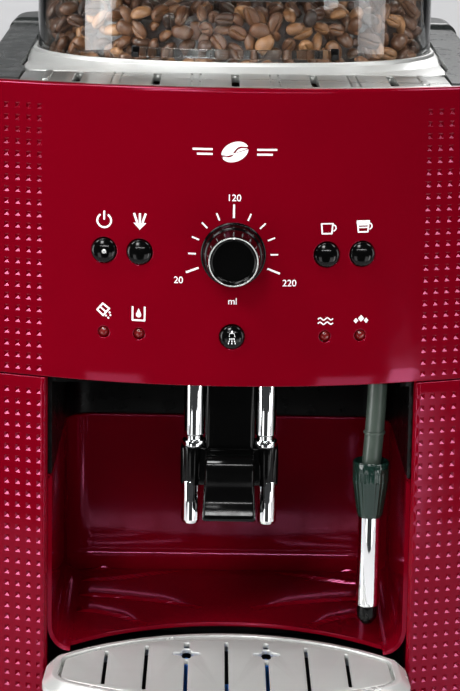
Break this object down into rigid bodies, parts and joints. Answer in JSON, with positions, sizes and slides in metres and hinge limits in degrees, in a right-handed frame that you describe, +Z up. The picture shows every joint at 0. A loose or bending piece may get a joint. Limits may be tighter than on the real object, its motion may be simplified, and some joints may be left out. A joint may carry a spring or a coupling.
{
  "type": "bean-to-cup espresso machine",
  "caption": "Bean-to-cup espresso machine with clear bean hopper, dial and buttons, sliding coffee outlet, steam wand, grounds drawer, drip tray and lift-out water tank.",
  "frame": {"origin": "on the table, under the middle of the machine's bounding box", "axes": "+Z up, the front with the controls faces -Y, +X is the right side seen from the front"},
  "size_m": [0.245, 0.335, 0.365],
  "materials": {
    "red_gloss": "deep red high gloss",
    "black_gloss": "black high gloss",
    "black_matte": "fine moulded texture",
    "dark_grey": "dark grey, satin",
    "silver_satin": "satin metallic silver",
    "silver_bright": "bright metallised silver",
    "chrome": "polished",
    "screw_steel": "zinc plated",
    "burr_steel": "ground steel",
    "motor_iron": "painted iron",
    "cast_aluminium": "die cast",
    "clear_plastic": "clear",
    "smoked_plastic": "smoked clear",
    "lamp_red": "dark red lens",
    "roasted_bean": "roasted, slightly oily",
    "float_blue": "blue",
    "rubber": "matte",
    "circuit_green": "lacquered board"
  },
  "bodies": {
    "housing": {"base_plate": "black_matte", "rubber_feet": "rubber", "side_panel_left": "black_matte", "side_panel_right": "black_matte", "rear_cover": "black_matte", "rear_screws": "screw_steel", "cord_gland": "black_matte", "pillar_left": "red_gloss", "pillar_right": "red_gloss", "front_panel": "red_gloss", "indicator_lamps": "lamp_red", "dial_bezel": "black_gloss", "control_board": "circuit_green", "top_frame": "dark_grey", "cup_plate": "silver_satin", "hopper_collar": "silver_satin", "bean_hopper": "clear_plastic", "coffee_beans": "roasted_bean", "grinder_housing": "black_matte", "upper_burr": "burr_steel", "grinder_motor": "motor_iron", "bay_liner": "black_gloss", "outlet_rails": "black_matte", "wand_bush": "black_matte", "tank_seat": "black_matte", "inner_frame": "black_matte", "brew_cylinder": "black_matte", "thermoblock": "cast_aluminium", "water_pump": "motor_iron", "power_board": "circuit_green"},
    "power_button": {"power_button": "black_gloss"},
    "steam_button": {"steam_button": "black_gloss"},
    "cup_button": {"cup_button": "black_gloss"},
    "double_cup_button": {"double_cup_button": "black_gloss"},
    "rinse_button": {"rinse_button": "black_gloss"},
    "dial": {"volume_dial": "black_gloss", "dial_shaft": "screw_steel"},
    "hopper_lid": {"hopper_lid": "smoked_plastic", "lid_seal": "rubber"},
    "grind_dial": {"grind_dial": "black_matte"},
    "lower_burr": {"lower_burr": "burr_steel"},
    "brew_piston": {"brew_piston": "black_matte"},
    "outlet": {"outlet_carriage": "black_gloss", "outlet_pull": "black_gloss", "outlet_tubes": "chrome", "outlet_nozzles": "chrome"},
    "wand_fork": {"wand_fork": "dark_grey"},
    "wand": {"wand_arm": "dark_grey", "wand_grip": "black_matte", "wand_sleeve": "chrome", "wand_tip": "black_matte"},
    "drawer": {"drawer_front": "red_gloss", "grounds_bin": "black_matte"},
    "tray": {"tray_basin": "black_matte", "tray_rim": "silver_bright"},
    "grid": {"drip_grid": "silver_satin"},
    "float": {"level_float": "float_blue"},
    "tank": {"water_tank": "smoked_plastic"},
    "tank_lid": {"tank_lid": "dark_grey"},
    "tank_valve": {"tank_valve": "black_matte"}
  },
  "joints": [
    {"name": "power_press", "type": "slide", "parent": "housing", "child": "power_button", "axis": [0, 1, 0], "range_m": [0, 0.0012], "stiffness_N_per_m": 900, "springref_m": -0.0006},
    {"name": "steam_press", "type": "slide", "parent": "housing", "child": "steam_button", "axis": [0, 1, 0], "range_m": [0, 0.0012], "stiffness_N_per_m": 900, "springref_m": -0.0006},
    {"name": "cup_press", "type": "slide", "parent": "housing", "child": "cup_button", "axis": [0, 1, 0], "range_m": [0, 0.0012], "stiffness_N_per_m": 900, "springref_m": -0.0006},
    {"name": "double_cup_press", "type": "slide", "parent": "housing", "child": "double_cup_button", "axis": [0, 1, 0], "range_m": [0, 0.0012], "stiffness_N_per_m": 900, "springref_m": -0.0006},
    {"name": "rinse_press", "type": "slide", "parent": "housing", "child": "rinse_button", "axis": [0, 1, 0], "range_m": [0, 0.0012], "stiffness_N_per_m": 900, "springref_m": -0.0006},
    {"name": "dial_turn", "type": "hinge", "parent": "housing", "child": "dial", "pos_m": [0, -0.1205, 0.2385], "axis": [0, 1, 0], "range_deg": [-112, 112]},
    {"name": "outlet_height", "type": "slide", "parent": "housing", "child": "outlet", "axis": [0, 0, 1], "range_m": [0, 0.045]},
    {"name": "wand_swivel", "type": "hinge", "parent": "housing", "child": "wand_fork", "pos_m": [0.07, -0.0905, 0.179], "axis": [0, 0, 1], "range_deg": [-40, 0]},
    {"name": "wand_tilt", "type": "hinge", "parent": "wand_fork", "child": "wand", "pos_m": [0.07, -0.0905, 0.179], "axis": [-1, 0, 0], "range_deg": [0, 35]},
    {"name": "drawer_slide", "type": "slide", "parent": "housing", "child": "drawer", "axis": [0, -1, 0], "range_m": [0, 0.075]},
    {"name": "tray_slide", "type": "slide", "parent": "drawer", "child": "tray", "axis": [0, -1, 0], "range_m": [0, 0.12]},
    {"name": "grid_lift", "type": "slide", "parent": "tray", "child": "grid", "axis": [0, 0, 1], "range_m": [0, 0.008]},
    {"name": "float_rise", "type": "slide", "parent": "tray", "child": "float", "axis": [0, 0, 1], "range_m": [0, 0.005]},
    {"name": "lid_lift", "type": "slide", "parent": "housing", "child": "hopper_lid", "axis": [0, 0, 1], "range_m": [0, 0.05]},
    {"name": "tank_lift", "type": "slide", "parent": "housing", "child": "tank", "axis": [0, 0, 1], "range_m": [0, 0.25]},
    {"name": "tank_lid_tilt", "type": "hinge", "parent": "tank", "child": "tank_lid", "pos_m": [0, 0.1655, 0.3125], "axis": [-1, 0, 0], "range_deg": [0, 75]},
    {"name": "valve_press", "type": "slide", "parent": "tank", "child": "tank_valve", "axis": [0, 0, 1], "range_m": [0, 0.002], "stiffness_N_per_m": 120, "springref_m": -0.002},
    {"name": "grind_turn", "type": "hinge", "parent": "housing", "child": "grind_dial", "pos_m": [0.062, 0.0625, 0.33], "axis": [0, 0, 1], "range_deg": [0, 270]},
    {"name": "burr_spin", "type": "hinge", "parent": "housing", "child": "lower_burr", "pos_m": [0, 0.018, 0.28], "axis": [0, 0, 1], "continuous": true},
    {"name": "brew_stroke", "type": "slide", "parent": "housing", "child": "brew_piston", "axis": [0, 0, -1], "range_m": [0, 0.024]}
  ]
}
